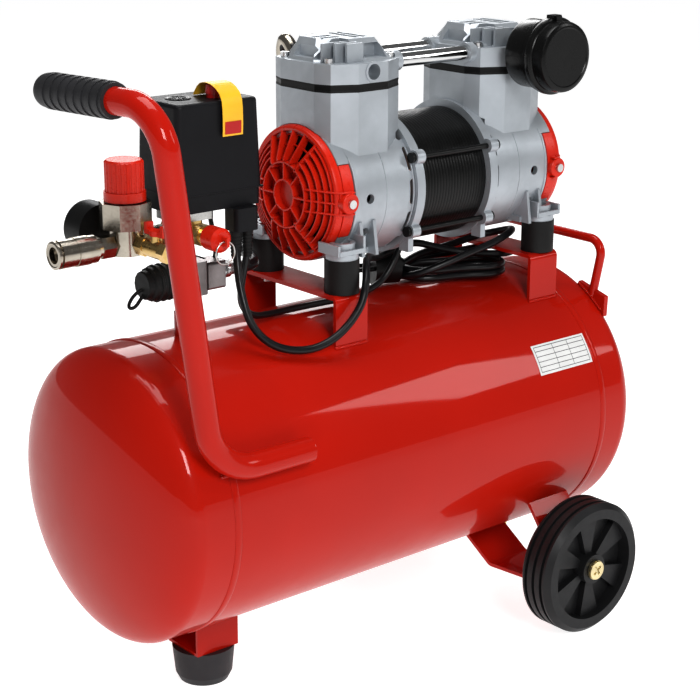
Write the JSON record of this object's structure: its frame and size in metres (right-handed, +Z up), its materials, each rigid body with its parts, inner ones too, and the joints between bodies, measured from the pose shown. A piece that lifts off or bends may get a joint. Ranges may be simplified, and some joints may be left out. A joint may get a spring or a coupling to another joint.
{
  "type": "air compressor",
  "caption": "Portable oil-free air compressor: horizontal tank on two wheels and a rubber foot, twin-cylinder motor pump on top, push handle, pressure switch, regulator and quick coupler.",
  "frame": {"origin": "on the floor, under the middle of the machine's box without its cords", "axes": "+X along the tank from the handle end to the wheel end, +Y across it, +Z up; the push handle lies on the -Y side"},
  "size_m": [0.7034, 0.3928, 0.6745],
  "materials": {
    "red_paint": "glossy",
    "grip_rubber": "satin",
    "black_rubber": "matte",
    "zinc_steel": "zinc plated",
    "yellow_zinc": "yellow zinc plated",
    "wheel_plastic": "satin",
    "brass": "satin",
    "nickel_plate": "nickel plated",
    "cast_aluminium": "cast, satin",
    "bare_aluminium": "satin",
    "black_steel": "satin",
    "steel": "machined",
    "copper_wire": "enamelled",
    "cast_iron": "machined",
    "gasket": "matte",
    "chrome": "polished",
    "red_plastic": "semi gloss",
    "black_plastic": "satin",
    "switch_plastic": "satin",
    "cable_rubber": "satin"
  },
  "bodies": {
    "root": {"tank_shell": "red_paint", "pump_bracket_front": "red_paint", "pump_bracket_rear": "red_paint", "foot_bracket": "red_paint", "wheel_bracket": "red_paint", "push_handle": "red_paint", "carry_handle": "red_paint", "handle_grip": "grip_rubber", "rubber_foot": "black_rubber", "rubber_mounts": "black_rubber", "m8_bolts": "zinc_steel", "axle_bolts": "yellow_zinc", "drain_valve_body": "brass", "crankcase_front": "cast_aluminium", "crankcase_rear": "cast_aluminium", "stator_stack": "black_steel", "stator_windings": "copper_wire", "shaft_bearings": "steel", "through_bolts": "black_steel", "cylinder_liners": "bare_aluminium", "valve_plates": "black_steel", "head_gaskets": "gasket", "cylinder_head_front": "cast_aluminium", "cylinder_head_rear": "cast_aluminium", "m5_screws": "zinc_steel", "transfer_pipes": "chrome", "fan_cover_front": "red_plastic", "fan_cover_rear": "red_plastic", "air_filter": "black_plastic", "check_valve": "nickel_plate", "manifold_cross": "brass", "safety_valve_body": "brass", "regulator_body": "nickel_plate", "gauge_case": "black_plastic", "coupler_body": "nickel_plate", "ball_valve_body": "brass", "switch_base": "switch_plastic", "switch_cover": "switch_plastic", "switch_mechanism": "steel", "delivery_pipe": "black_steel", "mains_cord": "cable_rubber", "motor_lead": "cable_rubber", "cord_hank": "cable_rubber", "mains_plug": "black_plastic"},
    "wheel_near": {"wheel_near": "wheel_plastic"},
    "wheel_far": {"wheel_far": "wheel_plastic"},
    "rotor": {"rotor_core": "steel", "crankshaft": "cast_iron", "cooling_fans": "black_plastic"},
    "rod_front": {"connecting_rod_front": "bare_aluminium"},
    "rod_rear": {"connecting_rod_rear": "bare_aluminium"},
    "regulator_knob": {"regulator_knob": "red_plastic"},
    "ball_valve_lever": {"ball_valve_lever": "red_plastic"},
    "coupler_sleeve": {"coupler_sleeve": "nickel_plate"},
    "switch_knob": {"switch_knob": "red_plastic"},
    "safety_cap": {"safety_valve_cap": "red_plastic"},
    "safety_ring": {"safety_ring": "steel"},
    "dust_cap": {"dust_cap": "black_rubber"},
    "drain_tap": {"drain_valve_tap": "brass"},
    "gauge_needle": {"gauge_needle": "black_plastic"}
  },
  "joints": [
    {"name": "wheel_near_spin", "type": "hinge", "parent": "root", "child": "wheel_near", "pos_m": [0.204, -0.1715, 0.075], "axis": [0, 1, 0], "continuous": true},
    {"name": "wheel_far_spin", "type": "hinge", "parent": "root", "child": "wheel_far", "pos_m": [0.204, 0.1715, 0.075], "axis": [0, 1, 0], "continuous": true},
    {"name": "rotor_spin", "type": "hinge", "parent": "root", "child": "rotor", "pos_m": [0.096, 0, 0.503], "axis": [1, 0, 0], "continuous": true},
    {"name": "rod_front_pin", "type": "hinge", "parent": "rotor", "child": "rod_front", "pos_m": [-0.007, 0, 0.509], "axis": [1, 0, 0], "continuous": true},
    {"name": "rod_rear_pin", "type": "hinge", "parent": "rotor", "child": "rod_rear", "pos_m": [0.199, 0, 0.497], "axis": [1, 0, 0], "continuous": true},
    {"name": "regulator_turn", "type": "hinge", "parent": "root", "child": "regulator_knob", "pos_m": [-0.268, 0, 0.524], "axis": [0, 0, 1], "range_deg": [-360, 360]},
    {"name": "outlet_valve_turn", "type": "hinge", "parent": "root", "child": "ball_valve_lever", "pos_m": [-0.262, -0.043, 0.483], "axis": [0, 0, 1], "range_deg": [0, 90]},
    {"name": "coupler_release", "type": "slide", "parent": "root", "child": "coupler_sleeve", "axis": [1, 0, 0], "range_m": [0, 0.005], "stiffness_N_per_m": 1500, "springref_m": -0.004},
    {"name": "switch_pull", "type": "slide", "parent": "root", "child": "switch_knob", "axis": [0, 0, 1], "range_m": [0, 0.006]},
    {"name": "safety_pull", "type": "slide", "parent": "root", "child": "safety_cap", "axis": [0, -1, 0], "range_m": [0, 0.003], "stiffness_N_per_m": 2500, "springref_m": -0.004},
    {"name": "safety_ring_swing", "type": "hinge", "parent": "safety_cap", "child": "safety_ring", "pos_m": [-0.2, -0.066, 0.485], "axis": [1, 0, 0], "range_deg": [-80, 40]},
    {"name": "dust_cap_pull", "type": "slide", "parent": "root", "child": "dust_cap", "axis": [-1, 0, 0], "range_m": [0, 0.032]},
    {"name": "drain_tap_turn", "type": "hinge", "parent": "root", "child": "drain_tap", "pos_m": [0.248, 0, 0.05], "axis": [0, 0, 1], "range_deg": [0, 360]},
    {"name": "gauge_needle_swing", "type": "hinge", "parent": "root", "child": "gauge_needle", "pos_m": [-0.272, 0.066, 0.488], "axis": [0, -1, 0], "range_deg": [0, 270]}
  ],
  "couplings": [
    {"joint": "rod_front_pin", "follows": "rotor_spin", "ratio": -1},
    {"joint": "rod_rear_pin", "follows": "rotor_spin", "ratio": -1}
  ]
}
